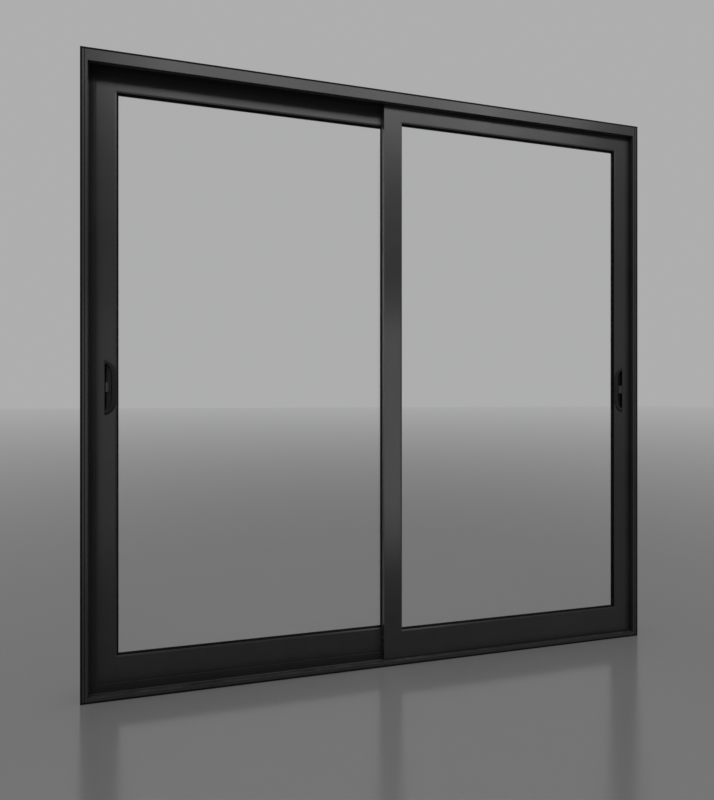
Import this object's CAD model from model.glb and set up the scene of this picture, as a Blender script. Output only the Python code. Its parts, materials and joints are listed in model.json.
import json
import math
import random

import bmesh
import bpy
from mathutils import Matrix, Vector
from mathutils.geometry import tessellate_polygon


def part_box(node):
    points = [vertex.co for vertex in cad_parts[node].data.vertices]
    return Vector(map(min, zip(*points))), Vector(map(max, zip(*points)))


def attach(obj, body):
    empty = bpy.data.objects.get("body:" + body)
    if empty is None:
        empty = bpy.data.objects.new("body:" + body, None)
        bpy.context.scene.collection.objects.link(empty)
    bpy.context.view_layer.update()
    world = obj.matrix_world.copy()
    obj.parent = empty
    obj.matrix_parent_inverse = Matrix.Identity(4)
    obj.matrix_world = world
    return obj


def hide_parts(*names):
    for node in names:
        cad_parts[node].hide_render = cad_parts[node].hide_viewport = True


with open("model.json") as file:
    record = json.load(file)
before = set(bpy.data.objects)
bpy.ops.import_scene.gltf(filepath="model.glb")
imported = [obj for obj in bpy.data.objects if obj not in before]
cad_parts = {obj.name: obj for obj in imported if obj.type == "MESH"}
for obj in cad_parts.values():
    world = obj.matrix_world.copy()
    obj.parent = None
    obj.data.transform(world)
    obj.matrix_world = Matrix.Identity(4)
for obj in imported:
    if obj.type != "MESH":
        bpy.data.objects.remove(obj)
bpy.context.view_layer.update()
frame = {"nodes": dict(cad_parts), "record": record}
nodes = frame["nodes"]
print("frame loaded:", len(nodes), "nodes")

scene = bpy.context.scene
scene.view_settings.view_transform = "Standard"

mm = 0.001

# most values of a noise texture lie between these two
noiseSpan = (0.3, 0.7)


# small helpers for node trees

def newGroup(name, inputs, outputs):
    group = bpy.data.node_groups.new(name, "ShaderNodeTree")
    for label, kind, value in inputs:
        socket = group.interface.new_socket(label, in_out="INPUT", socket_type=kind)
        socket.default_value = value
    for label, kind in outputs:
        group.interface.new_socket(label, in_out="OUTPUT", socket_type=kind)
    entry = group.nodes.new("NodeGroupInput")
    leave = group.nodes.new("NodeGroupOutput")
    return group, entry, leave


def addNode(tree, kind, **settings):
    node = tree.nodes.new(kind)
    for key, value in settings.items():
        setattr(node, key, value)
    return node


def join(tree, source, target):
    tree.links.new(source, target)


def fill(tree, socket, value):
    # a number, a colour or the output of another node
    if isinstance(value, (int, float)):
        socket.default_value = value
    elif isinstance(value, tuple):
        socket.default_value = (*value, 1.0)[:4]
    else:
        join(tree, value, socket)


def objectPlace(tree):
    return addNode(tree, "ShaderNodeTexCoord").outputs["Object"]


def mathNode(tree, operation, first, second=None, clamp=False):
    node = addNode(tree, "ShaderNodeMath", operation=operation, use_clamp=clamp)
    fill(tree, node.inputs[0], first)
    if second is not None:
        fill(tree, node.inputs[1], second)
    return node.outputs[0]


def mixColor(tree, factor, first, second):
    node = addNode(tree, "ShaderNodeMix", data_type="RGBA")
    for slot, value in ((0, factor), (6, first), (7, second)):
        fill(tree, node.inputs[slot], value)
    return node.outputs[2]


def spread(tree, value, span, toLow=0.0, toHigh=1.0):
    node = addNode(tree, "ShaderNodeMapRange", clamp=True)
    node.inputs["From Min"].default_value, node.inputs["From Max"].default_value = span
    node.inputs["To Min"].default_value = toLow
    node.inputs["To Max"].default_value = toHigh
    join(tree, value, node.inputs["Value"])
    return node.outputs[0]


def noise(tree, vector, scale, detail=2.0, roughness=0.5):
    node = addNode(tree, "ShaderNodeTexNoise")
    fill(tree, node.inputs["Scale"], scale)
    node.inputs["Detail"].default_value = detail
    node.inputs["Roughness"].default_value = roughness
    join(tree, vector, node.inputs["Vector"])
    return node.outputs["Fac"]


# effects that several finishes share

coat = {
    "tone": (0.037, 0.037, 0.038),
    "fleck": (0.062, 0.062, 0.064),
    "worn": (0.13, 0.13, 0.132),
    "roughness": 0.28,
    "roughCloud": (-0.04, 0.06),
    "roughGrain": (-0.03, 0.03),
    "sheen": 0.4,
    "sashShade": 0.94,
    "grainPerMetre": 1500.0,
    "grainBump": 0.12,
    "grainHeight": 0.2 * mm,
    "cloudPerMetre": 2.2,
    "cloudShare": 0.28,
    "speckPerMetre": 5200.0,
    "speckSpan": (0.63, 0.72),
    "speckShare": 0.55,
    "edgeRadius": 0.9 * mm,
}


def makeGrainGroup():
    group, entry, leave = newGroup(
        "powderGrain",
        [("Tone", "NodeSocketColor", (*coat["tone"], 1)),
         ("Fleck", "NodeSocketColor", (*coat["fleck"], 1)),
         ("Grains Per Metre", "NodeSocketFloat", coat["grainPerMetre"]),
         ("Roughness", "NodeSocketFloat", coat["roughness"])],
        [("Color", "NodeSocketColor"), ("Roughness", "NodeSocketFloat"), ("Height", "NodeSocketFloat")])
    place = objectPlace(group)
    fine = noise(group, place, entry.outputs["Grains Per Metre"], detail=3.0, roughness=0.6)
    cloud = noise(group, place, coat["cloudPerMetre"], detail=3.0, roughness=0.55)
    specks = noise(group, place, coat["speckPerMetre"], detail=1.0)
    speck = spread(group, specks, coat["speckSpan"])
    tone = mixColor(group, spread(group, cloud, noiseSpan, 0.0, coat["cloudShare"]), entry.outputs["Tone"],
                    entry.outputs["Fleck"])
    tone = mixColor(group, mathNode(group, "MULTIPLY", speck, coat["speckShare"]), tone,
                    entry.outputs["Fleck"])
    join(group, tone, leave.inputs["Color"])
    cloudy = spread(group, cloud, noiseSpan, *coat["roughCloud"])
    grainy = spread(group, fine, noiseSpan, *coat["roughGrain"])
    rough = mathNode(group, "ADD", entry.outputs["Roughness"], cloudy)
    rough = mathNode(group, "ADD", rough, grainy, clamp=True)
    join(group, rough, leave.inputs["Roughness"])
    join(group, fine, leave.inputs["Height"])
    return group


edgeWear = {"turned": 0.72, "flat": 0.97, "patchPerMetre": 60.0, "patchSpan": (0.42, 0.62), "samples": 4}


def makeEdgeGroup():
    # rounds the edges and shows the worn colour where the rounded normal leaves the flat one
    group, entry, leave = newGroup(
        "edgeWear",
        [("Color", "NodeSocketColor", (*coat["tone"], 1)),
         ("Worn Color", "NodeSocketColor", (*coat["worn"], 1)),
         ("Radius", "NodeSocketFloat", coat["edgeRadius"]),
         ("Amount", "NodeSocketFloat", 0.5)],
        [("Color", "NodeSocketColor"), ("Normal", "NodeSocketVector")])
    bevel = addNode(group, "ShaderNodeBevel", samples=edgeWear["samples"])
    join(group, entry.outputs["Radius"], bevel.inputs["Radius"])
    sharp = addNode(group, "ShaderNodeNewGeometry").outputs["Normal"]
    dot = addNode(group, "ShaderNodeVectorMath", operation="DOT_PRODUCT")
    join(group, bevel.outputs["Normal"], dot.inputs[0])
    join(group, sharp, dot.inputs[1])
    turned = spread(group, dot.outputs["Value"], (edgeWear["turned"], edgeWear["flat"]), 1.0, 0.0)
    patches = noise(group, objectPlace(group), edgeWear["patchPerMetre"], detail=4.0, roughness=0.7)
    broken = spread(group, patches, edgeWear["patchSpan"])
    mask = mathNode(group, "MULTIPLY", turned, mathNode(group, "MULTIPLY", broken, entry.outputs["Amount"]))
    join(group, mixColor(group, mask, entry.outputs["Color"], entry.outputs["Worn Color"]),
         leave.inputs["Color"])
    join(group, bevel.outputs["Normal"], leave.inputs["Normal"])
    return group


settledDust = {
    "tone": (0.22, 0.2, 0.18),
    "upSpan": (0.5, 0.95),
    "patchPerMetre": 24.0,
    "patchSpan": (0.35, 0.7),
}


def makeDustGroup():
    # dust lies in patches on what faces up
    group, entry, leave = newGroup(
        "settledDust",
        [("Color", "NodeSocketColor", (*coat["tone"], 1)),
         ("Dust Color", "NodeSocketColor", (*settledDust["tone"], 1)),
         ("Amount", "NodeSocketFloat", 0.5)],
        [("Color", "NodeSocketColor")])
    split = addNode(group, "ShaderNodeSeparateXYZ")
    join(group, addNode(group, "ShaderNodeNewGeometry").outputs["Normal"], split.inputs[0])
    up = spread(group, split.outputs["Z"], settledDust["upSpan"])
    patches = noise(group, objectPlace(group), settledDust["patchPerMetre"], detail=5.0, roughness=0.65)
    patch = spread(group, patches, settledDust["patchSpan"])
    mask = mathNode(group, "MULTIPLY", mathNode(group, "MULTIPLY", up, patch), entry.outputs["Amount"])
    join(group, mixColor(group, mask, entry.outputs["Color"], entry.outputs["Dust Color"]),
         leave.inputs["Color"])
    return group


effects = {"grain": makeGrainGroup(), "edge": makeEdgeGroup(), "dust": makeDustGroup()}


def useEffect(tree, name, **values):
    node = addNode(tree, "ShaderNodeGroup", node_tree=effects[name])
    for label, value in values.items():
        fill(tree, node.inputs[label.replace("_", " ")], value)
    return node


# finishes

def startMaterial(name):
    material = bpy.data.materials.new(name)
    material.use_nodes = True
    tree = material.node_tree
    shader = tree.nodes["Principled BSDF"]
    return material, tree, shader


def addBump(tree, shader, height, strength, distance, normal=None):
    bump = addNode(tree, "ShaderNodeBump")
    bump.inputs["Strength"].default_value = strength
    bump.inputs["Distance"].default_value = distance
    join(tree, height, bump.inputs["Height"])
    if normal is not None:
        join(tree, normal, bump.inputs["Normal"])
    join(tree, bump.outputs["Normal"], shader.inputs["Normal"])


def coatedMetal(name, tone, fleck, roughness, wear, dust, radius=coat["edgeRadius"], gloss=coat["sheen"]):
    material, tree, shader = startMaterial(name)
    shader.inputs["Specular IOR Level"].default_value = gloss
    grain = useEffect(tree, "grain", Tone=tone, Fleck=fleck, Grains_Per_Metre=coat["grainPerMetre"],
                      Roughness=roughness)
    dusted = useEffect(tree, "dust", Color=grain.outputs["Color"], Amount=dust)
    edge = useEffect(tree, "edge", Color=dusted.outputs["Color"], Worn_Color=coat["worn"], Radius=radius,
                     Amount=wear)
    join(tree, edge.outputs["Color"], shader.inputs["Base Color"])
    join(tree, grain.outputs["Roughness"], shader.inputs["Roughness"])
    addBump(tree, shader, grain.outputs["Height"], coat["grainBump"], coat["grainHeight"],
            edge.outputs["Normal"])
    return material


brushed = {
    "tone": (0.45, 0.45, 0.44),
    "shade": 0.72,
    "bright": (0.6, 0.6, 0.6),
    "roughness": (0.29, 0.44),
    "streaksPerMetre": (2600.0, 2600.0, 14.0),
    "edgeRadius": 0.5 * mm,
    "wear": 0.5,
    "bump": 0.15,
    "height": 0.1 * mm,
}


def lockSteel():
    # steel with streaks along z
    material, tree, shader = startMaterial("lockSteel")
    mapping = addNode(tree, "ShaderNodeMapping")
    mapping.inputs["Scale"].default_value = brushed["streaksPerMetre"]
    join(tree, objectPlace(tree), mapping.inputs["Vector"])
    streak = noise(tree, mapping.outputs["Vector"], 1.0, detail=3.0, roughness=0.6)
    dark = tuple(c * brushed["shade"] for c in brushed["tone"])
    color = mixColor(tree, spread(tree, streak, noiseSpan), dark, brushed["tone"])
    edge = useEffect(tree, "edge", Color=color, Worn_Color=brushed["bright"], Radius=brushed["edgeRadius"],
                     Amount=brushed["wear"])
    join(tree, edge.outputs["Color"], shader.inputs["Base Color"])
    shader.inputs["Metallic"].default_value = 1.0
    join(tree, spread(tree, streak, noiseSpan, *brushed["roughness"]), shader.inputs["Roughness"])
    addBump(tree, shader, streak, brushed["bump"], brushed["height"], edge.outputs["Normal"])
    return material


mould = {
    "cloudPerMetre": 9.0,
    "shade": 0.78,
    "wornShare": 1.9,
    "edgeRadius": 0.5 * mm,
    "wear": 0.4,
    "roughChange": (-0.05, 0.07),
    "sheen": 0.12,
    "height": 0.2 * mm,
}


def moulded(name, tone, roughness, bump, grains):
    material, tree, shader = startMaterial(name)
    place = objectPlace(tree)
    cloud = noise(tree, place, mould["cloudPerMetre"], detail=3.0, roughness=0.6)
    shade = tuple(c * mould["shade"] for c in tone)
    worn = tuple(min(1.0, c * mould["wornShare"]) for c in tone)
    color = mixColor(tree, spread(tree, cloud, noiseSpan), shade, tone)
    edge = useEffect(tree, "edge", Color=color, Worn_Color=worn, Radius=mould["edgeRadius"],
                     Amount=mould["wear"])
    shader.inputs["Specular IOR Level"].default_value = mould["sheen"]
    join(tree, edge.outputs["Color"], shader.inputs["Base Color"])
    smooth, coarse = (roughness + change for change in mould["roughChange"])
    join(tree, spread(tree, cloud, noiseSpan, smooth, coarse), shader.inputs["Roughness"])
    fine = noise(tree, place, grains, detail=3.0, roughness=0.6)
    addBump(tree, shader, fine, bump, mould["height"], edge.outputs["Normal"])
    return material


glass = {
    "tint": (0.985, 0.995, 0.99),
    "bend": 1.5,
    "smudgePerMetre": 3.0,
    "smudgeSpan": (0.55, 0.8),
    "smudgeRoughness": 0.035,
}


def clearGlass():
    material, tree, shader = startMaterial("clearGlass")
    patches = noise(tree, objectPlace(tree), glass["smudgePerMetre"], detail=4.0, roughness=0.6)
    smudge = spread(tree, patches, glass["smudgeSpan"], 0.0, glass["smudgeRoughness"])
    shader.inputs["Base Color"].default_value = (*glass["tint"], 1)
    shader.inputs["IOR"].default_value = glass["bend"]
    shader.inputs["Transmission Weight"].default_value = 1.0
    join(tree, smudge, shader.inputs["Roughness"])
    return material


fibre = {
    "dark": (0.012, 0.012, 0.012),
    "light": (0.04, 0.04, 0.042),
    "tuftsPerMetre": 420.0,
    "roughness": (0.75, 0.95),
    "fuzz": 0.25,
    "bump": 0.4,
    "height": 0.4 * mm,
}


def pileFibre():
    material, tree, shader = startMaterial("pileFibre")
    tuft = noise(tree, objectPlace(tree), fibre["tuftsPerMetre"], detail=3.0, roughness=0.7)
    color = mixColor(tree, spread(tree, tuft, noiseSpan), fibre["dark"], fibre["light"])
    join(tree, color, shader.inputs["Base Color"])
    join(tree, spread(tree, tuft, noiseSpan, *fibre["roughness"]), shader.inputs["Roughness"])
    shader.inputs["Sheen Weight"].default_value = fibre["fuzz"]
    addBump(tree, shader, tuft, fibre["bump"], fibre["height"])
    return material


sashTone = tuple(c * coat["sashShade"] for c in coat["tone"])
finishes = {
    "frame_coat": coatedMetal("frameCoat", coat["tone"], coat["fleck"], coat["roughness"],
                              wear=0.35, dust=0.35),
    "sash_coat": coatedMetal("sashCoat", sashTone, coat["fleck"], coat["roughness"], wear=0.3, dust=0.25),
    "pull_coat": coatedMetal("pullCoat", (0.004, 0.004, 0.004), (0.008, 0.008, 0.008), 0.26,
                             wear=0.4, dust=0.05, radius=0.8 * mm, gloss=0.4),
    "lever_metal": coatedMetal("leverCoat", (0.02, 0.02, 0.021), (0.03, 0.03, 0.03), 0.3,
                               wear=1.0, dust=0.05, radius=1.2 * mm, gloss=0.45),
    "track_coat": coatedMetal("trackCoat", (0.03, 0.03, 0.032), (0.045, 0.045, 0.047), 0.36,
                              wear=0.8, dust=0.2, radius=0.6 * mm),
    "clear_glass": clearGlass(),
    "black_rubber": moulded("blackRubber", (0.004, 0.004, 0.004), 0.6, bump=0.25, grains=900),
    "nylon": moulded("whiteNylon", (0.55, 0.55, 0.52), 0.45, bump=0.15, grains=700),
    "pile": pileFibre(),
    "lock_steel": lockSteel(),
}
for row in frame["record"]["subparts"]:
    mesh = nodes[row["node"]].data
    mesh.materials.clear()
    mesh.materials.append(finishes[row["material_slot"]])
print("finishes made:", len(finishes))


# mesh helpers

def pieceFrom(bm, name, slot, body, smooth=False):
    mesh = bpy.data.meshes.new(name)
    bmesh.ops.recalc_face_normals(bm, faces=bm.faces)
    bm.to_mesh(mesh)
    bm.free()
    for face in mesh.polygons:
        face.use_smooth = smooth
    piece = bpy.data.objects.new(name, mesh)
    scene.collection.objects.link(piece)
    mesh.materials.append(finishes[slot])
    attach(piece, body)
    return piece


def bridge(bm, first, second):
    # faces between two closed rings of as many points
    count = len(first)
    for i in range(count):
        n = (i + 1) % count
        bm.faces.new((first[i], first[n], second[n], second[i]))


def closedSkin(bm, rings):
    # a skin over the rings, with a flat face at both ends
    for first, second in zip(rings, rings[1:]):
        bridge(bm, first, second)
    bm.faces.new(rings[0])
    bm.faces.new(list(reversed(rings[-1])))


def sweptRing(bm, corners, profile, inward):
    # profile points are (distance from the ring's line, depth); corners go round the opening
    loops = []
    for corner, way in zip(corners, inward):
        loops.append([bm.verts.new((corner[0] + way[0] * off, depth, corner[1] + way[1] * off))
                      for off, depth in profile])
    for i in range(len(loops)):
        bridge(bm, loops[i - 1], loops[i])


def sideX(box, way):
    # the side of a box that faces right (1) or left (-1)
    return box[1].x if way > 0 else box[0].x


def middleY(box):
    return (box[0].y + box[1].y) / 2


# shares are of the head's radius, of its height and of the recess
screw = {
    "headRadius": 4.2 * mm,
    "headHeight": 0.5 * mm,
    "shoulderShare": 0.45,
    "crownShare": 0.88,
    "crossLong": 2.5 * mm,
    "crossWide": 0.8 * mm,
    "crossDeep": 0.35 * mm,
    "crossFootShare": 0.8,
    "segments": 28,
}


def crossHead(bm, centre, axis, size=1.0):
    # low screw head with a cross recess, its face towards axis
    axis = Vector(axis).normalized()
    side = axis.orthogonal().normalized()
    up = axis.cross(side)
    radius, high = screw["headRadius"] * size, screw["headHeight"] * size
    angles = [2 * math.pi * i / screw["segments"] for i in range(screw["segments"])]
    rim = [(radius * math.cos(angle), radius * math.sin(angle)) for angle in angles]
    top = [(u * screw["crownShare"], v * screw["crownShare"]) for u, v in rim]
    a, b = screw["crossLong"] * size, screw["crossWide"] * size / 2
    cross = [(a, b), (b, b), (b, a), (-b, a), (-b, b), (-a, b),
             (-a, -b), (-b, -b), (-b, -a), (b, -a), (b, -b), (a, -b)]
    sunk = [(u * screw["crossFootShare"], v * screw["crossFootShare"]) for u, v in cross]

    def ring(outline, height):
        return [bm.verts.new(Vector(centre) + side * u + up * v + axis * height) for u, v in outline]

    foot = ring(rim, 0)
    shoulder = ring(rim, high * screw["shoulderShare"])
    crown = ring(top, high)
    lip = ring(cross, high)
    floor = ring(sunk, high - screw["crossDeep"] * size)
    bridge(bm, foot, shoulder)
    bridge(bm, shoulder, crown)
    bridge(bm, lip, floor)
    bm.faces.new(floor)
    bm.faces.new(list(reversed(foot)))
    flat = crown + lip
    for triangle in tessellate_polygon([[Vector((u, v, 0)) for u, v in loop] for loop in (top, cross)]):
        bm.faces.new([flat[i] for i in triangle])


# pieces on each panel

def closingWay(panel):
    # 1 where the panel closes to the right, -1 where it closes to the left
    return 1 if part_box(panel + "_lock_stile")[0].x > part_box(panel + "_meeting_stile")[0].x else -1


def narrowSides(panel):
    # the closing side and the other one, each with its place and the way that it faces
    way = closingWay(panel)
    return ((sideX(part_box(panel + "_lock_stile"), way), way),
            (sideX(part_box(panel + "_meeting_stile"), -way), -way))


# the last four are in radii
gasketLip = {
    "radius": 1.7 * mm,
    "inset": 0.2 * mm,
    "steps": 7,
    "rootDepth": 2.6,
    "reach": 1.5,
    "foot": 0.4,
    "bulge": 2.2,
}


def gasketLips(panel):
    # rounded lips against both faces of the pane, round its opening
    low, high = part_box(panel + "_glass")
    bottomRail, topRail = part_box(panel + "_bottom_rail"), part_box(panel + "_top_rail")
    left, foot = bottomRail[0].x, bottomRail[1].z
    right, head = bottomRail[1].x, topRail[0].z
    corners = [(left, foot), (right, foot), (right, head), (left, head)]
    inward = [(1, 1), (-1, 1), (-1, -1), (1, -1)]
    lip, r = gasketLip, gasketLip["radius"]
    bm = bmesh.new()
    for depth, way in ((low.y, -1), (high.y, 1)):
        profile = [(-lip["inset"], depth), (-lip["inset"], depth + way * lip["rootDepth"] * r)]
        for k in range(lip["steps"] + 1):
            angle = math.pi / 2 * k / lip["steps"]
            profile.append((r * lip["reach"] * math.sin(angle),
                            depth + way * r * (lip["foot"] + lip["bulge"] * math.cos(angle))))
        profile.append((r * lip["reach"], depth))
        sweptRing(bm, corners, profile, inward)
    return pieceFrom(bm, panel + "_gasket_lips", "black_rubber", panel)


panelScrew = {
    "aboveTopRailFoot": (30 * mm, 52 * mm),
    "aboveBottomRailFoot": 50 * mm,
    "belowBottomRailTop": 24 * mm,
    "fromPlateEnd": 12 * mm,
    "plateSize": 0.8,
}


def panelScrews(panel):
    # screws through the stiles into the rails, and those of the lock's face plate
    bm = bmesh.new()
    top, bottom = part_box(panel + "_top_rail"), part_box(panel + "_bottom_rail")
    depth = middleY(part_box(panel + "_lock_stile"))
    heights = [top[0].z + rise for rise in panelScrew["aboveTopRailFoot"]]
    heights += [bottom[0].z + panelScrew["aboveBottomRailFoot"],
                bottom[1].z - panelScrew["belowBottomRailTop"]]
    for edge, way in narrowSides(panel):
        for height in heights:
            crossHead(bm, (edge, depth, height), (way, 0, 0))
    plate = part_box(panel + "_lock_plate")
    closing = closingWay(panel)
    for height in (plate[0].z + panelScrew["fromPlateEnd"], plate[1].z - panelScrew["fromPlateEnd"]):
        crossHead(bm, (sideX(plate, closing), depth, height), (closing, 0, 0), panelScrew["plateSize"])
    return pieceFrom(bm, panel + "_edge_screws", "lock_steel", panel)


# a D-shaped pull: crowned rim outside, finger cup inside, its flat side towards the closing edge
pullForm = {
    "corner": 50 * mm,
    "proud": 3 * mm,
    "cupWidth": 19 * mm,
    "cupHeight": 150 * mm,
    "cupCorner": 38 * mm,
    "cupOffset": 2 * mm,
    "cupDepth": 12 * mm,
    "cupWall": 1.5 * mm,
    "floorRound": 3.5 * mm,
    "floorSteps": 6,
    "fullCrown": 7 * mm,
    "crownPower": 2.4,
    "edgeShare": 0.25,
    "narrowShare": 0.35,
    "arcSteps": 16,
    "rimSteps": 14,
    "sharpAngle": 48,
    "screwFromEnd": 12.8 * mm,
    "screwSize": 0.62,
    "straightShares": (-0.6, -0.2, 0.2, 0.6),
}


def dOutline(width, height, corner):
    # u runs from the flat side to the bow, v along the pull
    arc, straight = pullForm["arcSteps"], height / 2 - corner
    points = []
    for i in range(arc + 1):
        angle = math.pi / 2 * i / arc
        points.append((width * math.sin(angle), -straight - corner * math.cos(angle)))
    points += [(width, straight * share) for share in pullForm["straightShares"]]
    points += [(u, -v) for u, v in reversed(points[:arc + 1])]
    return points + [(0.0, -height / 2 * share) for share in pullForm["straightShares"]]


def cupOutline(grow):
    form = pullForm
    outline = dOutline(form["cupWidth"] + 2 * grow, form["cupHeight"] + 2 * grow, form["cupCorner"] + grow)
    return [(u + form["cupOffset"] - grow, v) for u, v in outline]


def rimHeight(share, width):
    # crowned across the rim, and lower where the rim is narrow
    form = pullForm
    crown = math.sqrt(max(0.0, 1 - abs(2 * share - 1) ** form["crownPower"]))
    across = form["edgeShare"] + (1 - form["edgeShare"]) * crown
    along = form["narrowShare"] + (1 - form["narrowShare"]) * min(1.0, width / form["fullCrown"])
    return form["proud"] * across * along


def pullCover(panel):
    form = pullForm
    low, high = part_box(panel + "_pull")
    closing = closingWay(panel)
    flat = sideX((low, high), closing)
    face, centre = low.y + form["proud"], (low.z + high.z) / 2
    outer = dOutline(high.x - low.x, high.z - low.z, form["corner"])
    cup = cupOutline(0)
    back = cupOutline(form["cupWall"])
    loops = [[(u, v, form["cupDepth"] + form["cupWall"]) for u, v in back],
             [(u, v, 0.0) for u, v in back],
             [(u, v, 0.0) for u, v in outer]]
    for k in range(form["rimSteps"] + 1):
        share = 0.5 - 0.5 * math.cos(math.pi * k / form["rimSteps"])
        loops.append([(u0 + (u1 - u0) * share, v0 + (v1 - v0) * share,
                       -rimHeight(share, math.hypot(u1 - u0, v1 - v0)))
                      for (u0, v0), (u1, v1) in zip(outer, cup)])
    for k in range(form["floorSteps"] + 1):
        angle = math.pi / 2 * k / form["floorSteps"]
        inset = form["floorRound"] * (1 - math.cos(angle))
        depth = form["cupDepth"] - form["floorRound"] * (1 - math.sin(angle))
        loops.append([(u, v, depth) for u, v in cupOutline(-inset)])
    bm = bmesh.new()
    closedSkin(bm, [[bm.verts.new((flat - closing * u, face + depth, centre + v)) for u, v, depth in loop]
                    for loop in loops])
    piece = pieceFrom(bm, panel + "_pull_cover", "pull_coat", panel, smooth=True)
    piece.data.set_sharp_from_angle(angle=math.radians(form["sharpAngle"]))
    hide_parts(panel + "_pull")
    return piece


def pullScrews(panel):
    bm = bmesh.new()
    low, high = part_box(panel + "_pull")
    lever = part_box(panel + "_thumb_lever")
    x = (lever[0].x + lever[1].x) / 2
    for height in (low.z + pullForm["screwFromEnd"], high.z - pullForm["screwFromEnd"]):
        crossHead(bm, (x, low.y, height), (0, -1, 0), pullForm["screwSize"])
    return pieceFrom(bm, panel + "_pull_screws", "lever_metal", panel)


# profile: share of the radius and share of the height
plug = {
    "radius": 5.0 * mm,
    "height": 0.8 * mm,
    "aboveFoot": 16.8 * mm,
    "profile": ((1.0, 0.0), (1.0, 0.45), (0.86, 0.85), (0.55, 1.0)),
    "segments": 24,
}


def footPlugs(panel):
    # plugs over the screws that raise the rollers, at the foot of both stiles
    bm = bmesh.new()
    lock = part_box(panel + "_lock_stile")
    depth, height = middleY(lock), lock[0].z + plug["aboveFoot"]
    angles = [2 * math.pi * i / plug["segments"] for i in range(plug["segments"])]
    for edge, way in narrowSides(panel):
        closedSkin(bm, [[bm.verts.new((edge + way * plug["height"] * lift,
                                       depth + plug["radius"] * share * math.cos(angle),
                                       height + plug["radius"] * share * math.sin(angle)))
                         for angle in angles] for share, lift in plug["profile"]])
    return pieceFrom(bm, panel + "_adjuster_plugs", "black_rubber", panel)


pullPieces = []
for panel in ("front_panel", "rear_panel"):
    gasketLips(panel)
    panelScrews(panel)
    pullPieces += [pullCover(panel), pullScrews(panel)]
    footPlugs(panel)
print("panel pieces made")


# pieces on the frame

frameScrew = {
    "fromKeeperEnd": 12 * mm,
    "keeperSize": 0.8,
    "halfWeb": 1.5 * mm,
    "wallSize": 1.6,
    "aboveFoot": 11 * mm,
    "belowTop": 26 * mm,
    "fromFace": 9 * mm,
}


def keeperScrews():
    bm = bmesh.new()
    margin, size = frameScrew["fromKeeperEnd"], frameScrew["keeperSize"]
    for node, way in (("left_keeper", 1), ("right_keeper", -1)):
        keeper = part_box(node)
        for height in (keeper[0].z + margin, keeper[1].z - margin):
            crossHead(bm, (sideX(keeper, way), middleY(keeper), height), (way, 0, 0), size)
    return pieceFrom(bm, "keeper_screws", "lock_steel", "frame")


def wallScrews():
    # heads of the frame screws in the jambs' pockets, at the record's fixing holes
    bm = bmesh.new()
    for mount in frame["record"]["mounts"]:
        if mount["kind"] != "bolt_pattern":
            continue
        x, y, z = mount["pos_m"]
        across = mount["dims"]["spacing_x_mm"] * mm / 2
        along = mount["dims"]["spacing_y_mm"] * mm / 2
        way = -1 if x > 0 else 1
        face = x + way * frameScrew["halfWeb"]
        for depth in (y - across, y + across):
            for height in (z - along, z + along):
                crossHead(bm, (face, depth, height), (way, 0, 0), frameScrew["wallSize"])
    return pieceFrom(bm, "wall_screws", "lock_steel", "frame")


def cornerScrews():
    # screws through the jambs into the head and the sill
    bm = bmesh.new()
    for node, way in (("left_jamb", -1), ("right_jamb", 1)):
        low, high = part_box(node)
        for height in (low.z + frameScrew["aboveFoot"], high.z - frameScrew["belowTop"]):
            for depth in (low.y + frameScrew["fromFace"], high.y - frameScrew["fromFace"]):
                crossHead(bm, (sideX((low, high), way), depth, height), (way, 0, 0))
    return pieceFrom(bm, "corner_screws", "lock_steel", "frame")


seam = {"width": 2.2 * mm, "topShare": 0.6, "height": 0.3 * mm, "fromSide": 13 * mm, "endGap": 2 * mm}


def jambSeams():
    # the fine dark joint line down each jamb's front face
    bm = bmesh.new()
    for node, way in (("left_jamb", -1), ("right_jamb", 1)):
        low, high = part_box(node)
        middle = sideX((low, high), way) - way * seam["fromSide"]
        foot, top = seam["width"] / 2, seam["width"] / 2 * seam["topShare"]
        front = low.y - seam["height"]
        section = [(middle - foot, low.y), (middle - top, front),
                   (middle + top, front), (middle + foot, low.y)]
        closedSkin(bm, [[bm.verts.new((x, y, z)) for x, y in section]
                        for z in (low.z + seam["endGap"], high.z - seam["endGap"])])
    return pieceFrom(bm, "jamb_seams", "black_rubber", "frame")


# margins are in rows, jitter is a share of the pitch
pile = {
    "backing": 1.0 * mm,
    "pitch": 1.3 * mm,
    "jitter": 0.3,
    "rows": 4,
    "firstRow": 0.7,
    "spareRows": 0.4,
    "width": 0.35 * mm,
    "spread": 0.5 * mm,
    "shorter": 0.4 * mm,
}


def pileBacking(bm, low, high, root, base):
    for vert in bmesh.ops.create_cube(bm, size=1.0)["verts"]:
        vert.co.x = low.x if vert.co.x < 0 else high.x
        vert.co.z = low.z if vert.co.z < 0 else high.z
        vert.co.y = root if vert.co.y < 0 else base


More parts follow.
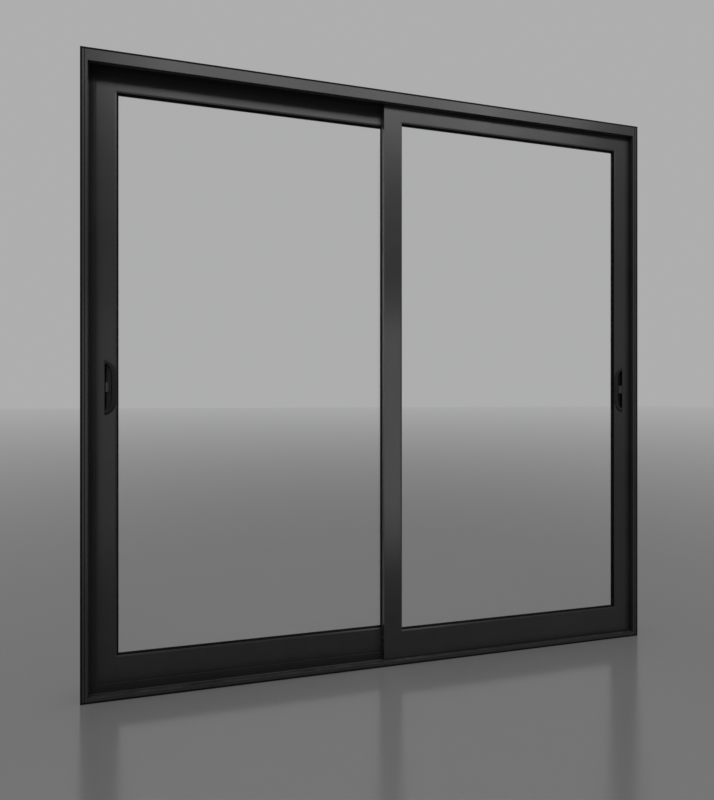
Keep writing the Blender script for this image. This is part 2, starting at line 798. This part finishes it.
def pileFibres(bm, rng, low, high, along, base, tip):
    # along is the axis that the strip follows: 0 is x, 2 is z
    start, end = low[along], high[along]
    acrossLow, acrossHigh = low[2 - along], high[2 - along]
    way = 1 if tip > base else -1

    def point(place, depth, across):
        return bm.verts.new((place, depth, across) if along == 0 else (across, depth, place))

    for row in range(pile["rows"]):
        share = (row + pile["firstRow"]) / (pile["rows"] + pile["spareRows"])
        across = acrossLow + (acrossHigh - acrossLow) * share
        for i in range(int((end - start) / pile["pitch"])):
            place = start + (i + 0.5 + rng.uniform(-1, 1) * pile["jitter"]) * pile["pitch"]
            tipPlace = min(max(place + rng.uniform(-1, 1) * pile["spread"], start), end)
            tipAcross = min(max(across + rng.uniform(-1, 1) * pile["spread"], acrossLow), acrossHigh)
            tipDepth = tip - way * rng.uniform(0, pile["shorter"])
            w = pile["width"]
            foot = [point(place - w, base, across), point(place + w, base, across),
                    point(place, base, across + w)]
            top = point(tipPlace, tipDepth, tipAcross)
            for k in range(3):
                bm.faces.new((foot[k], foot[(k + 1) % 3], top))


def pileStrip(node, along, name):
    # two woven backings with rows of fibres that stand towards the panels
    low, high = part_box(node)
    rng = random.Random(name)
    bm = bmesh.new()
    middle = (low.y + high.y) / 2
    for side in (-1, 1):
        depths = [v.co.y for v in nodes[node].data.vertices if (v.co.y - middle) * side > 0]
        root, tip = (min(depths), max(depths)) if side < 0 else (max(depths), min(depths))
        base = root - side * pile["backing"]
        pileBacking(bm, low, high, root, base)
        pileFibres(bm, rng, low, high, along, base, tip)
    piece = pieceFrom(bm, name, "pile", "frame")
    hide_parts(node)
    return piece


keeperScrews()
wallScrews()
cornerScrews()
jambSeams()
pileStrip("head_pile_seals", 0, "head_pile")
pileStrip("left_jamb_pile_seals", 2, "left_jamb_pile")
pileStrip("right_jamb_pile_seals", 2, "right_jamb_pile")
print("frame pieces made")


# the room: floor, lamps, world and camera

studio = {
    "backdrop": 0.423,
    "ambient": 0.15,
    "floorSize": 120.0,
    "floorDrop": 0.3 * mm,
    "floorTone": 0.62,
    "floorGlow": 0.036,
    "floorRoughness": 0.16,
    "floorMirror": 0.15,
    "hazeReach": 7.2,
    "hazeStart": 0.3,
}


def grey(level):
    return (level, level, level, 1)


def seenRays(tree):
    # what the eye sees, straight or in metal and glass
    path = addNode(tree, "ShaderNodeLightPath")
    seen = mathNode(tree, "MAXIMUM", path.outputs["Is Camera Ray"], path.outputs["Is Glossy Ray"])
    return mathNode(tree, "MAXIMUM", seen, path.outputs["Is Transmission Ray"])


def mixShaders(tree, factor, first, second):
    mix = addNode(tree, "ShaderNodeMixShader")
    fill(tree, mix.inputs[0], factor)
    join(tree, first.outputs[0], mix.inputs[1])
    join(tree, second.outputs[0], mix.inputs[2])
    return mix


def floorFinish():
    material, tree, shader = startMaterial("studioFloor")
    shader.inputs["Base Color"].default_value = grey(studio["floorTone"])
    shader.inputs["Specular IOR Level"].default_value = 0.0
    shader.inputs["Emission Color"].default_value = grey(1)
    shader.inputs["Emission Strength"].default_value = studio["floorGlow"]
    # the same soft mirror at every angle, as in the photo
    mirror = addNode(tree, "ShaderNodeBsdfAnisotropic")
    mirror.inputs["Roughness"].default_value = studio["floorRoughness"]
    mirror.inputs["Color"].default_value = grey(1)
    polished = mixShaders(tree, studio["floorMirror"], shader, mirror)
    # haze hides the line between floor and backdrop: exp(-reach / distance)
    away = addNode(tree, "ShaderNodeVectorMath", operation="LENGTH")
    join(tree, objectPlace(tree), away.inputs[0])
    distance = mathNode(tree, "ADD", away.outputs["Value"], studio["hazeStart"])
    haze = mathNode(tree, "EXPONENT", mathNode(tree, "DIVIDE", -studio["hazeReach"], distance))
    light = addNode(tree, "ShaderNodeEmission")
    light.inputs["Color"].default_value = grey(studio["backdrop"])
    hazy = mixShaders(tree, mathNode(tree, "MULTIPLY", haze, seenRays(tree)), polished, light)
    join(tree, hazy.outputs[0], tree.nodes["Material Output"].inputs["Surface"])
    return material


def studioFloor():
    size = studio["floorSize"] / 2
    mesh = bpy.data.meshes.new("floor")
    mesh.from_pydata([(-size, -size, 0), (size, -size, 0), (size, size, 0), (-size, size, 0)], [],
                     [(0, 1, 2, 3)])
    floor = bpy.data.objects.new("floor", mesh)
    scene.collection.objects.link(floor)
    floor.location.z = -studio["floorDrop"]
    mesh.materials.append(floorFinish())
    return floor


# a wide soft box over the door's front, one behind the door, and two low ones that show only as sheen
lamps = {
    "overhead": {"power": 61, "size": (5.05, 1.1), "place": (0.62, -3.1, 4.3), "aim": (0.3, 0.0, 1.9),
                 "sheenOnly": False},
    "middle": {"power": 4.7, "size": (0.62, 1.46), "place": (0.36, -1.2, 0.78), "aim": (0.0, 0.0, 0.76),
               "sheenOnly": True},
    "left": {"power": 1.1, "size": (0.7, 1.4), "place": (-1.33, -1.2, 0.76), "aim": (-1.0, 0.0, 0.76),
             "sheenOnly": True},
    "behind": {"power": 40, "size": (4.0, 1.4), "place": (-0.3, 3.0, 4.0), "aim": (0.0, 0.0, 1.1),
               "sheenOnly": False},
}


def keptDark(name, pieces):
    # a lamp that is linked to this collection doesn't light the pieces in it
    group = bpy.data.collections.new(name)
    for piece in pieces:
        group.objects.link(piece)
    for entry in group.collection_objects:
        entry.light_linking.link_state = "EXCLUDE"
    return group


def softBox(name, values, unlit):
    lamp = bpy.data.lights.new(name, "AREA")
    lamp.shape = "RECTANGLE"
    lamp.size, lamp.size_y = values["size"]
    lamp.energy = values["power"]
    holder = bpy.data.objects.new(name, lamp)
    scene.collection.objects.link(holder)
    place, aim = Vector(values["place"]), Vector(values["aim"])
    holder.location = place
    holder.rotation_euler = (aim - place).to_track_quat("-Z", "Y").to_euler()
    holder.visible_camera = False
    holder.visible_transmission = False
    holder.visible_diffuse = not values["sheenOnly"]
    holder.light_linking.receiver_collection = unlit


def studioWorld():
    world = bpy.data.worlds.new("studio")
    scene.world = world
    world.use_nodes = True
    tree = world.node_tree
    tree.nodes.clear()
    dim = addNode(tree, "ShaderNodeBackground")
    dim.inputs["Color"].default_value = grey(1)
    dim.inputs["Strength"].default_value = studio["ambient"]
    shown = addNode(tree, "ShaderNodeBackground")
    shown.inputs["Color"].default_value = grey(studio["backdrop"])
    mix = mixShaders(tree, seenRays(tree), dim, shown)
    join(tree, mix.outputs[0], addNode(tree, "ShaderNodeOutputWorld").inputs["Surface"])


# the eye stands left of the middle and looks a little to the right
camera = {
    "place": (-0.5187, -1.7415, 0.9720),
    "turn": 12.58,
    "focalPixels": 482.6,
    "longSidePixels": 800,
    "sensor": 36.0,
    "farthest": 200.0,
}


def placeCamera():
    data = bpy.data.cameras.new("eye")
    data.sensor_width = camera["sensor"]
    data.lens = camera["focalPixels"] / camera["longSidePixels"] * camera["sensor"]
    data.clip_end = camera["farthest"]
    eye = bpy.data.objects.new("eye", data)
    scene.collection.objects.link(eye)
    eye.location = camera["place"]
    eye.rotation_euler = (math.radians(90), 0, -math.radians(camera["turn"]))
    scene.camera = eye


# the panes and the floor show the plain backdrop and no lamp; the low lamps leave the pulls dark too
plain = [studioFloor(), nodes["front_panel_glass"], nodes["rear_panel_glass"]]
unlitPlain = keptDark("unlitPlain", plain)
unlitPulls = keptDark("unlitPulls", plain + pullPieces)
for name, values in lamps.items():
    softBox(name, values, unlitPulls if values["sheenOnly"] else unlitPlain)
studioWorld()
placeCamera()
print("studio set")
